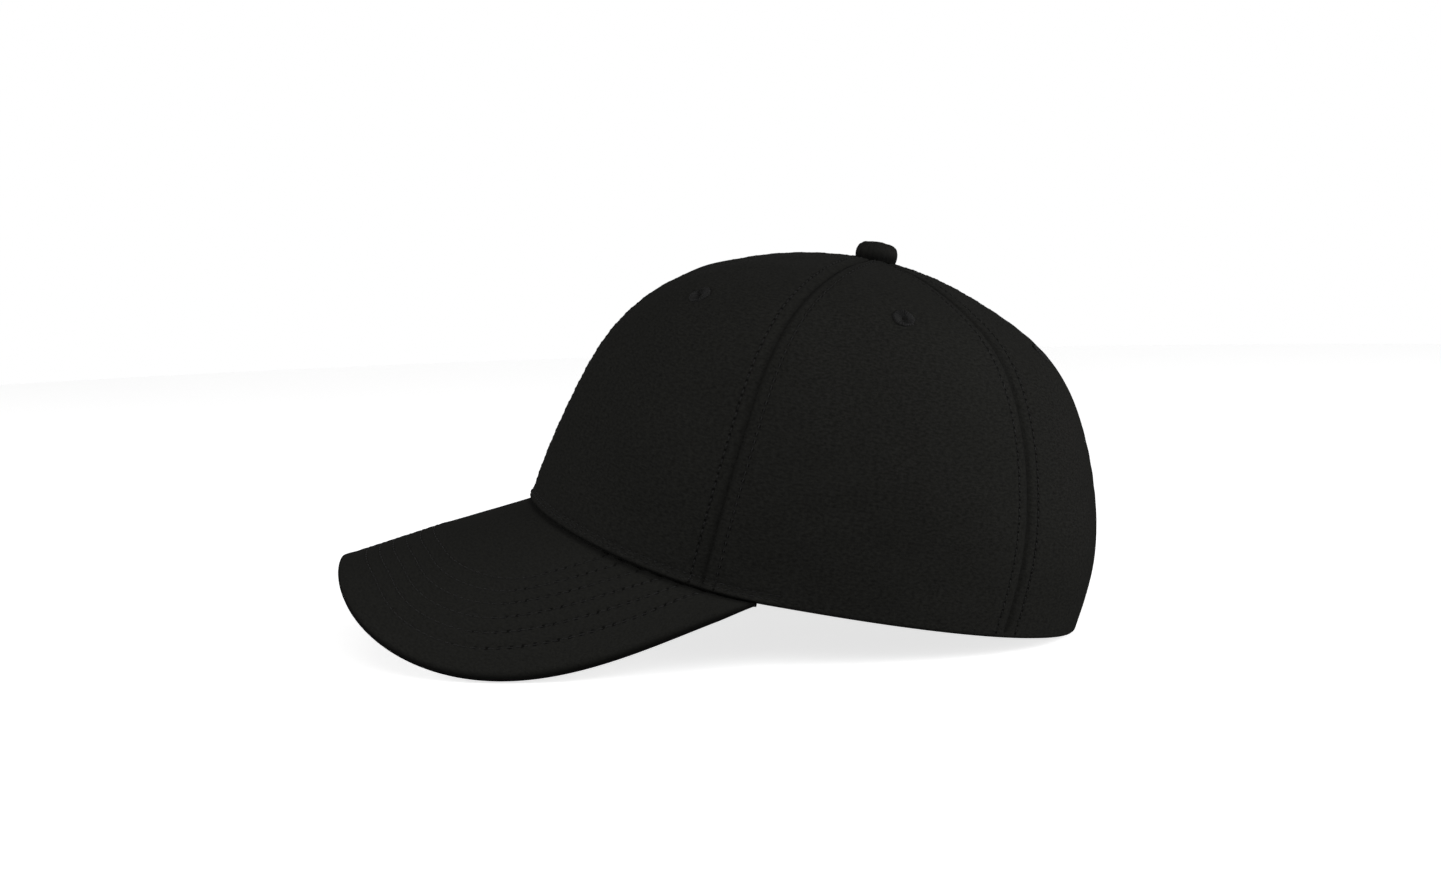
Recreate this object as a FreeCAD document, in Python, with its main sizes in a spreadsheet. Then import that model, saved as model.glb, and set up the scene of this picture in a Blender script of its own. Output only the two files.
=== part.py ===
"""Baseball cap: six sewn crown panels, a curved stitched bill, a covered top button and the
inner trim (buckram, seam tapes, sweatband, hem tape, labels).

Frame: millimetres, +Z up, the bill points to -Y and +X is the wearer's left.  The cap rests on
the bill's two side edges and on the back of its hem, and the origin is the middle of its
footprint.
"""

import FreeCAD, Part
import Sketcher
import math
import os

Vector = FreeCAD.Vector

# ---------------------------------------------------------------------------------------------
# Driving dimensions
# ---------------------------------------------------------------------------------------------

# Heights on the crown run from 0 at the hem to 1 at the button, and the three meridians give
# the outer face at each of these levels: front and back in the cap's middle plane, side at the
# widest place.
LEVELS = [0.0, 0.15, 0.30, 0.45, 0.60, 0.75, 0.88, 1.0]
MERIDIANS = {
    "front": [(0, -70.7, 40.1), (0, -61.1, 65.4), (0, -49.3, 90.0), (0, -34.4, 112.6),
              (0, -12.7, 128.3), (0, 13.8, 135.4), (0, 37.4, 136.2), (0, 58.8, 133.6)],
    "side": [(80.3, 31.1, 18.9), (83.2, 36.8, 45.2), (82.4, 42.2, 70.2), (76.5, 46.9, 94.3),
             (64.0, 50.7, 113.6), (45.7, 54.0, 125.6), (24.3, 56.5, 131.8), (0, 58.8, 133.6)],
    "back": [(0, 125.9, 0.0), (0, 133.4, 25.3), (0, 134.2, 50.5), (0, 129.2, 75.6),
             (0, 117.6, 98.0), (0, 97.8, 115.0), (0, 78.4, 126.4), (0, 58.8, 133.6)],
}

SIZES = {
    # crown
    "ring_squareness": 2.15,        # exponent of the superellipse that each level follows
    "front_seam_angle": 67.0,       # seam between front and side panel, from the bill's middle
    "back_seam_angle": 130.0,       # seam between side and back panel
    "panel_gap": 0.3,               # clear space between neighbouring panels
    "panel_thickness": 1.0,
    "button_hole_level": 0.98,      # the panels stop here, around the button's prong
    "front_rise_level": 0.075,      # how far the bill's arch lifts the hem at the front
    "front_rise_angle": 78.0,       # the lift ends here, at the bill's corners
    "front_rise_power": 1.9,
    # inner layers, measured inwards from the crown's outer face
    "buckram_depth": 1.2,
    "buckram_thickness": 0.7,
    "buckram_above_hem": 1.5,
    "buckram_top_level": 0.9,
    "tape_depth": 2.1,
    "tape_thickness": 0.5,
    "tape_width": 12.0,
    "tape_above_hem": 1.0,
    "tape_top_level": 0.92,
    "hem_tape_depth": 2.8,
    "hem_tape_thickness": 0.4,
    "hem_tape_above_hem": 0.6,
    "hem_tape_height": 9.0,
    "foam_depth": 3.4,
    "foam_thickness": 1.8,
    "foam_above_hem": 3.0,
    "foam_height": 26.0,
    "foam_angle": 60.0,
    "sweatband_depth": 3.5,
    "sweatband_front_extra": 2.0,   # the band stands this much further in over the foam
    "sweatband_plateau_angle": 63.0,
    "sweatband_fade_angle": 25.0,   # and comes back over this many degrees behind the foam
    "sweatband_thickness": 0.8,
    "sweatband_above_hem": 0.8,
    "sweatband_height": 32.0,
    "band_butt_angle": 179.9,       # the bands' two ends meet at the back
    "label_depth_step": 0.2,
    "label_thickness": 0.3,
    "label_height": 18.0,
    "label_angle": 12.0,            # width of a label, in degrees around the crown
    "size_label_above_hem": 8.0,
    "care_label_above_hem": 24.0,
    "care_label_place_angle": 146.0,
    # bill
    "bill_front": -134.2,           # y of the front edge in the middle plane
    "bill_half_width": 84.0,
    "bill_centre": 1.0,             # y of the outline's centre
    "bill_squareness": 3.1,         # exponent of the outline's superellipse
    "bill_crest_height": 58.54,     # height of the crest line at bill_crest_y
    "bill_crest_y": -49.2,
    "bill_slope_angle": 16.4,       # fall of the crest line towards the front
    "bill_arch_radius": 93.8,
    "bill_arch_growth": 0.0020,     # the arch deepens by this share for each mm forward
    "bill_arch_start": -10.0,
    "bill_cover_thickness": 0.7,
    "bill_board_thickness": 1.9,
    "bill_layer_gap": 0.15,
    "bill_board_inset": 1.2,
    "bill_crown_gap": 0.35,
    "bill_cover_corner": 1.0,       # degrees around the crown from the bill's corners
    "bill_board_corner": 8.0,
    "bill_corner_taper": 0.8,       # share by which the bill shortens towards its corners
    "bill_taper_power": 12.0,
    "bill_corner_power": 4.0,       # how sharply the bill bends up to meet the hem at its corners
    "bill_least_reach": 0.4,        # an inset takes no more than the rest of the bill's reach
    # button and eyelets
    "button_radius": 7.2,
    "button_height": 5.9,
    "button_tilt": 11.0,
    "button_lift": 0.35,
    "button_cover_thickness": 0.6,
    "button_shell_thickness": 0.8,
    "button_gap": 0.12,
    "prong_radius": 1.4,
    "prong_head_radius": 2.4,
    "prong_chamfer": 0.56,
    "prong_length": 6.4,
    "washer_radius": 6.0,
    "washer_thickness": 0.6,
    "eyelet_radius": 3.9,
    "eyelet_hole_radius": 0.9,
    "eyelet_thickness": 0.8,
    "eyelet_lift": 0.12,            # clear space between eyelet and panel
    "eyelet_front_angle": 34.0,
    "eyelet_front_level": 0.585,
    "eyelet_side_angle": 100.0,
    "eyelet_side_level": 0.645,
    "eyelet_back_angle": 162.5,
    "eyelet_back_level": 0.61,
    "punched_hole_radius": 1.3,
}

doc = FreeCAD.newDocument("BaseballCap")
sheet = doc.addObject("Spreadsheet::Sheet", "Sizes")


def fill_sheet():
    """Writes every driving dimension to the sheet, one row with an alias each."""
    rows = dict(SIZES)
    for meridian, points in MERIDIANS.items():
        for number, point in enumerate(points, 1):
            for axis, value in zip("xyz", point):
                rows[f"{meridian}_{axis}_at_level_{number}"] = value
    for row, (alias, value) in enumerate(rows.items(), 1):
        sheet.set(f"A{row}", alias)
        sheet.set(f"B{row}", str(value))
        sheet.setAlias(f"B{row}", alias)
    doc.recompute()


fill_sheet()


def size(alias):
    """The value of one cell."""
    return float(sheet.get(alias))


# ---------------------------------------------------------------------------------------------
# Crown surface
# ---------------------------------------------------------------------------------------------

def natural_spline(knots, values):
    """A function that runs smoothly through the values, straight at both ends."""
    count = len(knots)
    steps = [knots[i + 1] - knots[i] for i in range(count - 1)]
    bends = [0.0] * count
    factor = [0.0] * count
    for i in range(1, count - 1):
        slope_change = (values[i + 1] - values[i]) / steps[i] - (values[i] - values[i - 1]) / steps[i - 1]
        pivot = 2 * (steps[i - 1] + steps[i]) - steps[i - 1] * factor[i - 1]
        factor[i] = steps[i] / pivot
        bends[i] = (6 * slope_change - steps[i - 1] * bends[i - 1]) / pivot
    for i in range(count - 2, 0, -1):
        bends[i] -= factor[i] * bends[i + 1]

    def value(place):
        i = max(k for k in range(count - 1) if k == 0 or knots[k] <= place)
        step = steps[i]
        left = (knots[i + 1] - place) / step
        right = (place - knots[i]) / step
        bulge = ((left ** 3 - left) * bends[i] + (right ** 3 - right) * bends[i + 1]) * step * step / 6
        return left * values[i] + right * values[i + 1] + bulge

    return value


def meridian_curve(meridian):
    """The meridian as a function of the level."""
    coordinates = [
        natural_spline(LEVELS, [size(f"{meridian}_{axis}_at_level_{n}") for n in range(1, len(LEVELS) + 1)])
        for axis in "xyz"
    ]
    return lambda level: Vector(*[coordinate(level) for coordinate in coordinates])


front_at = meridian_curve("front")
side_at = meridian_curve("side")
back_at = meridian_curve("back")


def crown_point(angle, level):
    """Outer face of the crown.  angle is 0 at the bill's middle, 90 on the wearer's left."""
    front, side, back = front_at(level), side_at(level), back_at(level)
    share = (side.y - front.y) / (back.y - front.y) if level < 1 else 0.5
    centre = front + (back - front) * share
    half_width = Vector(side.x, 0, 0)
    cosine, sine = math.cos(math.radians(angle)), math.sin(math.radians(angle))
    power = size("ring_squareness")
    reach = (abs(cosine) ** power + abs(sine) ** power) ** (-1 / power)
    along = (front - centre) * cosine if cosine > 0 else (back - centre) * -cosine
    return centre + (along + half_width * sine) * reach


def crown_normal(angle, level):
    """Outward unit normal of the crown."""
    step = 0.01
    across = crown_point(angle + 1, level) - crown_point(angle - 1, level)
    low = max(level - step, -0.05)
    upward = crown_point(angle, level + step) - crown_point(angle, low)
    normal = across.cross(upward)
    normal.normalize()
    return normal


def layer_point(angle, level, depth):
    """A point that lies depth inside the crown's outer face."""
    return crown_point(angle, level) - crown_normal(angle, level) * depth


def hem_level(angle):
    """Level of the crown's lower edge: the bill's arch lifts it at the front."""
    turn = abs((angle + 180) % 360 - 180) / size("front_rise_angle")
    if turn >= 1:
        return 0.0
    return size("front_rise_level") * (1 - turn * turn) ** size("front_rise_power")


def angle_shift(angle, level, distance):
    """The angle that moves a crown point by distance along its level."""
    chord = (crown_point(angle + 0.5, level) - crown_point(angle - 0.5, level)).Length
    return distance / chord


def level_above_hem(angle, height):
    """The level that lies height above the hem, measured along the crown."""
    start = hem_level(angle)
    rise = (crown_point(angle, start + 0.05) - crown_point(angle, start)).Length
    return start + 0.05 * height / rise


# ---------------------------------------------------------------------------------------------
# Building closed shells
# ---------------------------------------------------------------------------------------------

def spaced(first, last, count):
    """count values from first to last."""
    return [first + (last - first) * i / (count - 1) for i in range(count)]


def smooth_face(rows):
    """A face through a grid of points."""
    surface = Part.BSplineSurface()
    surface.interpolate(rows)
    return surface.toShape()


def shell_solid(outer_rows, inner_rows):
    """The closed solid between two grids of points that run side by side."""
    outer = smooth_face(outer_rows)
    inner = smooth_face(inner_rows)
    sides = [Part.makeRuledSurface(a, b) for a, b in zip(outer.Edges, inner.Edges)]
    shell = Part.makeShell([outer, inner] + sides)
    shell.sewShape()
    solid = Part.Solid(shell)
    if solid.Volume < 0:
        solid.reverse()
    return solid


def feature(label, shape):
    """A document object that holds a free-form shape."""
    piece = doc.addObject("Part::Feature", label)
    piece.Label = label
    piece.Shape = shape
    piece.Placement = FreeCAD.Placement()
    return piece


def crown_layer(left_edge, right_edge, bottom, top, depth, thickness, columns, rows):
    """A layer of the crown between two seams.

    left_edge and right_edge give an angle for a level, bottom gives a level for an angle, and
    depth may change with the angle.
    """
    outer_rows, inner_rows = [], []
    for across in spaced(0, 1, columns):
        start_angle = left_edge(0.0) + (right_edge(0.0) - left_edge(0.0)) * across
        start = bottom(start_angle)
        finish = top(start_angle)
        outer_column, inner_column = [], []
        for level in spaced(start, finish, rows):
            angle = left_edge(level) + (right_edge(level) - left_edge(level)) * across
            outer_column.append(layer_point(angle, level, depth(angle)))
            inner_column.append(layer_point(angle, level, depth(angle) + thickness))
        outer_rows.append(outer_column)
        inner_rows.append(inner_column)
    return shell_solid(outer_rows, inner_rows)


def seam_edge(angle, shift):
    """An edge that runs beside a seam, shift away from it, as an angle for each level."""
    return lambda level: angle + angle_shift(angle, level, shift)


def constant(value):
    """A function that gives the same value everywhere."""
    return lambda place: value


# ---------------------------------------------------------------------------------------------
# Crown: panels, buckram, seam tapes
# ---------------------------------------------------------------------------------------------

SIDES = (("left", 1), ("right", -1))


def panel_edges(start, finish, side):
    """The two edges of a panel between seams, for the left or the mirrored right side."""
    half_gap = size("panel_gap") / 2
    if side > 0:
        return seam_edge(start, half_gap), seam_edge(finish, -half_gap)
    return seam_edge(-finish, half_gap), seam_edge(-start, -half_gap)


def eyelet_placement(angle, level, depth):
    """A frame on the crown whose +Z is the outward normal."""
    turn = FreeCAD.Rotation(Vector(0, 0, 1), crown_normal(angle, level))
    return FreeCAD.Placement(layer_point(angle, level, depth), turn)


def punched(label, blank, angle, level):
    """The blank with its eyelet hole cut through."""
    punch = doc.addObject("Part::Cylinder", label + "_punch")
    punch.setExpression("Radius", "Sizes.punched_hole_radius")
    punch.setExpression("Height", "Sizes.panel_thickness * 4")
    punch.Placement = eyelet_placement(angle, level, size("panel_thickness") * 3)
    piece = doc.addObject("Part::Cut", label)
    piece.Label = label
    piece.Base = blank
    piece.Tool = punch
    return piece


def crown_panels():
    """Six panels, and a buckram stiffener behind each front one."""
    pieces = []
    seams = (0.0, size("front_seam_angle"), size("back_seam_angle"), 180.0)
    top = constant(size("button_hole_level"))
    for place, start, finish in zip(("front", "side", "back"), seams, seams[1:]):
        eyelet_angle, eyelet_level = size(f"eyelet_{place}_angle"), size(f"eyelet_{place}_level")
        for name, side in SIDES:
            edges = panel_edges(start, finish, side)
            panel = crown_layer(*edges, hem_level, top, constant(0.0), size("panel_thickness"), 12, 16)
            label = f"{place}_{name}_panel"
            where = (side * eyelet_angle, eyelet_level)
            pieces.append(punched(label, feature(label + "_blank", panel), *where))
            pieces.append(eyelet(f"eyelet_{place}_{name}", *where))
            if place == "front":
                pieces.append(buckram(name, edges, *where))
    return pieces


def buckram(name, edges, middle, level):
    """The stiff mesh behind a front panel, a little shorter than the panel."""
    def bottom(angle):
        return level_above_hem(angle, size("buckram_above_hem"))

    layer = crown_layer(*edges, bottom, constant(size("buckram_top_level")),
                        constant(size("buckram_depth")), size("buckram_thickness"), 12, 14)
    label = f"front_{name}_buckram"
    return punched(label, feature(label + "_blank", layer), middle, level)


def seam_tapes():
    """Six tapes that cover the seams on the inside."""
    def bottom(angle):
        return level_above_hem(angle, size("tape_above_hem"))

    front, back = size("front_seam_angle"), size("back_seam_angle")
    seams = {"front_centre": 0.0, "front_left": front, "front_right": -front,
             "back_left": back, "back_right": -back, "back_centre": 180.0}
    half_width = size("tape_width") / 2
    pieces = []
    for name, angle in seams.items():
        edges = seam_edge(angle, -half_width), seam_edge(angle, half_width)
        tape = crown_layer(*edges, bottom, constant(size("tape_top_level")),
                           constant(size("tape_depth")), size("tape_thickness"), 5, 14)
        pieces.append(feature(f"seam_tape_{name}", tape))
    return pieces


# ---------------------------------------------------------------------------------------------
# Sweatband and its neighbours
# ---------------------------------------------------------------------------------------------

def band(label, reach, low, high, depth, thickness, columns):
    """A band inside the hem, from -reach to reach, between two heights above the hem."""
    def bottom(angle):
        return level_above_hem(angle, low)

    def top(angle):
        return level_above_hem(angle, high)

    shape = crown_layer(constant(-reach), constant(reach), bottom, top, depth, thickness, columns, 5)
    return feature(label, shape)


def sweatband_depth(angle):
    """Depth of the sweatband's outer face: it stands further in over the foam."""
    beyond = abs(angle) - size("sweatband_plateau_angle")
    fade = min(max(beyond / size("sweatband_fade_angle"), 0.0), 1.0)
    return size("sweatband_depth") + size("sweatband_front_extra") * (1 + math.cos(math.pi * fade)) / 2


def inner_trim():
    """Hem tape, forehead foam and sweatband.  The two bands butt together at the back."""
    butt, foam_low = size("band_butt_angle"), size("foam_above_hem")
    hem_tape = band("hem_tape", butt, size("hem_tape_above_hem"), size("hem_tape_height"),
                    constant(size("hem_tape_depth")), size("hem_tape_thickness"), 60)
    foam = band("sweatband_foam", size("foam_angle"), foam_low, foam_low + size("foam_height"),
                constant(size("foam_depth")), size("foam_thickness"), 24)
    sweatband = band("sweatband", butt, size("sweatband_above_hem"), size("sweatband_height"),
                     sweatband_depth, size("sweatband_thickness"), 60)
    return [hem_tape, foam, sweatband]


def label_patch(name, middle, low, depth):
    """A small blank cloth label."""
    def bottom(angle):
        return level_above_hem(angle, low)

    def top(angle):
        return level_above_hem(angle, low + size("label_height"))

    half = size("label_angle") / 2
    shape = crown_layer(constant(middle - half), constant(middle + half), bottom, top,
                        constant(depth), size("label_thickness"), 5, 4)
    return feature(name, shape)


def labels():
    """A size label on the sweatband at the back, and a care label that stands up behind it."""
    step = size("label_depth_step")
    on_band = size("sweatband_depth") + size("sweatband_thickness") + step
    behind_band = size("tape_depth") + size("tape_thickness") + step
    return [label_patch("size_label", 180.0, size("size_label_above_hem"), on_band),
            label_patch("care_label", size("care_label_place_angle"), size("care_label_above_hem"),
                        behind_band)]


# ---------------------------------------------------------------------------------------------
# Bill
# ---------------------------------------------------------------------------------------------

def arch_height(x, y):
    """Height of the bill's upper face: a crest line that falls forward, arched to the sides."""
    slope = math.tan(math.radians(size("bill_slope_angle")))
    crest = size("bill_crest_height") - (size("bill_crest_y") - y) * slope
    deepening = 1 + size("bill_arch_growth") * (size("bill_arch_start") - y)
    radius = size("bill_arch_radius")
    return crest - deepening * (radius - math.sqrt(radius * radius - x * x))


def outline_point(x, y):
    """The point of the bill's outline in the direction of (x, y) from the outline's centre."""
    ahead = size("bill_centre") - y
    half_width = size("bill_half_width")
    depth = size("bill_centre") - size("bill_front")
    power = size("bill_squareness")
    total = (abs(x) / half_width) ** power + (abs(ahead) / depth) ** power
    stretch = total ** (-1 / power)
    return x * stretch, size("bill_centre") - ahead * stretch


def bill_point(angle, share, inset):
    """Upper face of the bill: share is 0 at the crown and 1 at the outline less the inset."""
    root = crown_point(angle, hem_level(angle))
    root.z -= size("bill_crown_gap")
    edge_x, edge_y = outline_point(root.x, root.y)
    turn = abs(angle) / size("front_rise_angle")
    taper = 1 - size("bill_corner_taper") * turn ** size("bill_taper_power")
    length = math.hypot(edge_x - root.x, edge_y - root.y)
    reach = share * taper * max(1 - inset / length, size("bill_least_reach"))
    x = root.x + (edge_x - root.x) * reach
    y = root.y + (edge_y - root.y) * reach
    fade = (1 - share) ** 2
    lift = (root.z - arch_height(root.x, root.y)) * (fade + (1 - fade) * turn ** size("bill_corner_power"))
    return Vector(x, y, arch_height(x, y) + lift)


def bill_layer_point(angle, share, inset, depth):
    """A point that lies depth below the bill's upper face."""
    step = 0.004
    low, high = max(share - step, 0.0), min(share + step, 1.0)
    outward = bill_point(angle, high, inset) - bill_point(angle, low, inset)
    across = bill_point(angle + 0.3, share, inset) - bill_point(angle - 0.3, share, inset)
    normal = outward.cross(across)
    normal.normalize()
    return bill_point(angle, share, inset) - normal * depth


def bill_layer(label, depth, thickness, inset, corner):
    """One layer of the bill, which ends corner degrees short of the bill's corners."""
    end = size("front_rise_angle") - corner
    outer_rows, inner_rows = [], []
    for angle in spaced(-end, end, 45):
        shares = spaced(0.0, 1.0, 9)
        outer_rows.append([bill_layer_point(angle, share, inset, depth) for share in shares])
        inner_rows.append([bill_layer_point(angle, share, inset, depth + thickness) for share in shares])
    return feature(label, shell_solid(outer_rows, inner_rows))


def bill():
    """Top cover, stiff board and under cover."""
    cover, board, gap = size("bill_cover_thickness"), size("bill_board_thickness"), size("bill_layer_gap")
    cover_corner, board_corner = size("bill_cover_corner"), size("bill_board_corner")
    return [bill_layer("bill_top_cover", 0.0, cover, 0.0, cover_corner),
            bill_layer("bill_board", cover + gap, board, size("bill_board_inset"), board_corner),
            bill_layer("bill_under_cover", cover + board + 2 * gap, cover, 0.0, cover_corner)]


# ---------------------------------------------------------------------------------------------
# Turned pieces: button, prong, washer, eyelets
# ---------------------------------------------------------------------------------------------

def revolved_body(label, outline, placement):
    """A PartDesign body turned about its own Z axis.

    outline lists the corners as pairs of expressions, radius and height, and every one that
    isn't on the axis is bound to the sheet.
    """
    body = doc.addObject("PartDesign::Body", label)
    body.Label = label
    sketch = body.newObject("Sketcher::SketchObject", label + "_outline")
    sketch.AttachmentSupport = [(next(f for f in body.Origin.OriginFeatures if f.Role == "XZ_Plane"), "")]
    sketch.MapMode = "FlatFace"
    corners = [Vector(float(body.evalExpression(r)), float(body.evalExpression(h)), 0) for r, h in outline]
    for number, corner in enumerate(corners):
        sketch.addGeometry(Part.LineSegment(corner, corners[(number + 1) % len(corners)]), False)
    origin, vertical_axis, start, finish = (-1, 1), -2, 1, 2
    for number, (radius, height) in enumerate(outline):
        following = (number + 1) % len(outline)
        sketch.addConstraint(Sketcher.Constraint("Coincident", number, finish, following, start))
        if corners[number].x == 0:
            sketch.addConstraint(Sketcher.Constraint("PointOnObject", number, start, vertical_axis))
        else:
            index = sketch.addConstraint(
                Sketcher.Constraint("DistanceX", *origin, number, start, corners[number].x))
            sketch.setExpression(f"Constraints[{index}]", radius)
        if corners[number].y == 0:
            sketch.addConstraint(Sketcher.Constraint("PointOnObject", number, start, -1))
        else:
            index = sketch.addConstraint(
                Sketcher.Constraint("DistanceY", *origin, number, start, corners[number].y))
            sketch.setExpression(f"Constraints[{index}]", height)
    turned = body.newObject("PartDesign::Revolution", label + "_turned")
    turned.Profile = sketch
    turned.ReferenceAxis = (sketch, ["V_Axis"])
    turned.Angle = 360
    sketch.Visibility = False
    body.Placement = placement
    return body


def eyelet(label, angle, level):
    """A stitched ring around a vent hole, lying on the panel."""
    outline = [
        ("Sizes.eyelet_hole_radius", "0"),
        ("Sizes.eyelet_radius", "0"),
        ("Sizes.eyelet_radius", "Sizes.eyelet_thickness * 0.4"),
        ("Sizes.eyelet_radius * 0.8", "Sizes.eyelet_thickness"),
        ("Sizes.eyelet_hole_radius * 1.6", "Sizes.eyelet_thickness"),
        ("Sizes.eyelet_hole_radius", "Sizes.eyelet_thickness * 0.6"),
    ]
    return revolved_body(label, outline, eyelet_placement(angle, level, -size("eyelet_lift")))


def button_placement(height):
    """A frame on the button's axis, height above the crown's outer face."""
    turn = FreeCAD.Rotation(Vector(1, 0, 0), -size("button_tilt"))
    top = crown_point(0, 1.0)
    return FreeCAD.Placement(top + turn.multVec(Vector(0, 0, height)), turn)


def dome(label, clearance):
    """A solid half ellipsoid, clearance smaller than the button all over."""
    solid = doc.addObject("Part::Ellipsoid", label)
    solid.setExpression("Radius1", f"Sizes.button_height - {clearance}")
    solid.setExpression("Radius2", f"Sizes.button_radius - {clearance}")
    solid.setExpression("Radius3", f"Sizes.button_radius - {clearance}")
    solid.Angle1 = 0
    solid.Placement = button_placement(size("button_lift"))
    return solid


def hollow_dome(label, outer_clearance, inner_clearance):
    """A domed cup."""
    cup = doc.addObject("Part::Cut", label)
    cup.Label = label
    cup.Base = dome(label + "_outer", outer_clearance)
    cup.Tool = dome(label + "_inner", inner_clearance)
    return cup


def button():
    """Cloth cover, metal shell, the prong that goes down through the crown, and its washer."""
    cover = "Sizes.button_cover_thickness"
    shell = f"({cover} + Sizes.button_gap)"
    cavity = f"({cover} + Sizes.button_gap + Sizes.button_shell_thickness)"
    washer_depth = size("panel_thickness") * 2
    prong = [
        ("0", "0"),
        ("Sizes.prong_head_radius", "0"),
        ("Sizes.prong_head_radius", "Sizes.washer_thickness"),
        ("Sizes.prong_radius", "Sizes.washer_thickness"),
        ("Sizes.prong_radius", "Sizes.prong_length - Sizes.prong_chamfer"),
        ("Sizes.prong_radius - Sizes.prong_chamfer", "Sizes.prong_length"),
        ("0", "Sizes.prong_length"),
    ]
    washer = [
        ("Sizes.prong_radius + Sizes.button_gap", "0"),
        ("Sizes.washer_radius", "0"),
        ("Sizes.washer_radius", "Sizes.washer_thickness"),
        ("Sizes.prong_radius + Sizes.button_gap", "Sizes.washer_thickness"),
    ]
    thickness = size("washer_thickness")
    return [
        hollow_dome("button_cover", "0", cover),
        hollow_dome("button_shell", shell, cavity),
        revolved_body("button_washer", washer, button_placement(-washer_depth - thickness)),
        revolved_body("button_prong", prong,
                      button_placement(-washer_depth - 2 * thickness - size("button_gap"))),
    ]


# ---------------------------------------------------------------------------------------------
# Assembly, checks and files
# ---------------------------------------------------------------------------------------------

def check_and_write(pieces):
    """Stops on a failed object, then writes one STEP file for each piece."""
    doc.recompute()
    for item in doc.Objects:
        if {"Invalid", "Error"} & set(item.State):
            raise RuntimeError(f"{item.Label} failed: {item.State}")
    os.makedirs("parts", exist_ok=True)
    for piece in pieces:
        shape = piece.Shape
        if shape.isNull() or not shape.isValid() or len(shape.Solids) != 1:
            raise RuntimeError(f"{piece.Label} is not one valid solid")
        shape.exportStep(f"parts/{piece.Label}.step")
        print(f"{piece.Label}: {shape.Volume / 1000:.2f} cm3")


check_and_write(crown_panels() + seam_tapes() + inner_trim() + labels() + bill() + button())
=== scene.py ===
"""Looks of the baseball cap: sewn cloth panels, a quilted bill, topstitching, a covered button,
embroidered eyelets and the inner trim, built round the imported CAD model.

Everything is in metres in the CAD frame: +Z up, the bill points to -Y, +X is the wearer's left.
A place on the crown is an angle in degrees, 0 at the bill's middle and 90 on the wearer's left,
and a level from 0 at the hem to 1 at the button.
"""
import math
import bpy
import numpy as np
from mathutils import Matrix, Vector


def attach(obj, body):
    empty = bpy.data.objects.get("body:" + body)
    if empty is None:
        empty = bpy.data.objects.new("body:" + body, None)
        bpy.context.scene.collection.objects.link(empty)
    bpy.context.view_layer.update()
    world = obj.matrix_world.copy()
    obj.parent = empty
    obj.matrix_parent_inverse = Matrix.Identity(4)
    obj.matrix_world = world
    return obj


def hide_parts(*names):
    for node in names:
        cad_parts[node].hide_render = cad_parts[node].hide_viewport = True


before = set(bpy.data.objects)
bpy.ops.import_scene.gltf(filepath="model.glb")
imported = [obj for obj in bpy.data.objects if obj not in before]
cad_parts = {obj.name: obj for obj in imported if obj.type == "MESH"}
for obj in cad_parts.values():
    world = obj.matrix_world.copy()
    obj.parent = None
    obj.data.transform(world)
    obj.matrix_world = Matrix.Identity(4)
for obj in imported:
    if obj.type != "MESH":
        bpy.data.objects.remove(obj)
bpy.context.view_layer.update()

# ---- Driving dimensions: the CAD's, or slightly larger where thread and cloth cover it ----

LEVELS = [0.0, 0.15, 0.30, 0.45, 0.60, 0.75, 0.88, 1.0]
FRONT = [(0, -.0707, .0401), (0, -.0611, .0654), (0, -.0493, .0900), (0, -.0344, .1126),
         (0, -.0127, .1283), (0, .0138, .1354), (0, .0374, .1362), (0, .0588, .1336)]
SIDE = [(.0803, .0311, .0189), (.0832, .0368, .0452), (.0824, .0422, .0702), (.0765, .0469, .0943),
        (.0640, .0507, .1136), (.0457, .0540, .1256), (.0243, .0565, .1318), (0, .0588, .1336)]
BACK = [(0, .1259, .0000), (0, .1334, .0253), (0, .1342, .0505), (0, .1292, .0756),
        (0, .1176, .0980), (0, .0978, .1150), (0, .0784, .1264), (0, .0588, .1336)]
RING_SQUARENESS = 2.15
SEAM_LABELS = {0.0: "front_centre", 67.0: "front_left", -67.0: "front_right", 130.0: "back_left",
               -130.0: "back_right", 180.0: "back_centre"}
FRONT_RISE_LEVEL = 0.075
CORNER_ANGLE = 78.0
FRONT_RISE_POWER = 1.9
TOP_LEVEL = 0.985  # the panels end here, under the button

BILL_FRONT = -0.1342
BILL_HALF_WIDTH = 0.084
BILL_CENTRE = 0.0010
BILL_SQUARENESS = 3.1
CREST_HEIGHT = 0.05854
CREST_Y = -0.0492
CREST_SLOPE = math.tan(math.radians(16.4))
ARCH_RADIUS = 0.0938
ARCH_GROWTH = 2.0  # share per metre forward
ARCH_START = -0.010
BILL_CROWN_GAP = 0.0007  # shadow gap under the crown's rolled edge, closed at the corners
BILL_THICKNESS = 0.0036
COVER_THICKNESS = 0.0007
BILL_END_ANGLE = 77.8
RIM_SQUARENESS = 3.4
RIM_BULGE = 0.0010  # the turned seam inside makes the underside thicker at the rim

BUTTON_PLACE = (0.0, 0.0588, 0.1336)
BUTTON_TILT = math.radians(-11.0)
BUTTON_LIFT = -0.0002
BUTTON_RADIUS = 0.0073
BUTTON_HEIGHT = 0.0062

EYELETS = {"front": (34.0, 0.585), "side": (100.0, 0.645), "back": (162.5, 0.61)}
EYELET_RADIUS = 0.0039
EYELET_HOLE = 0.0007

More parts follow.
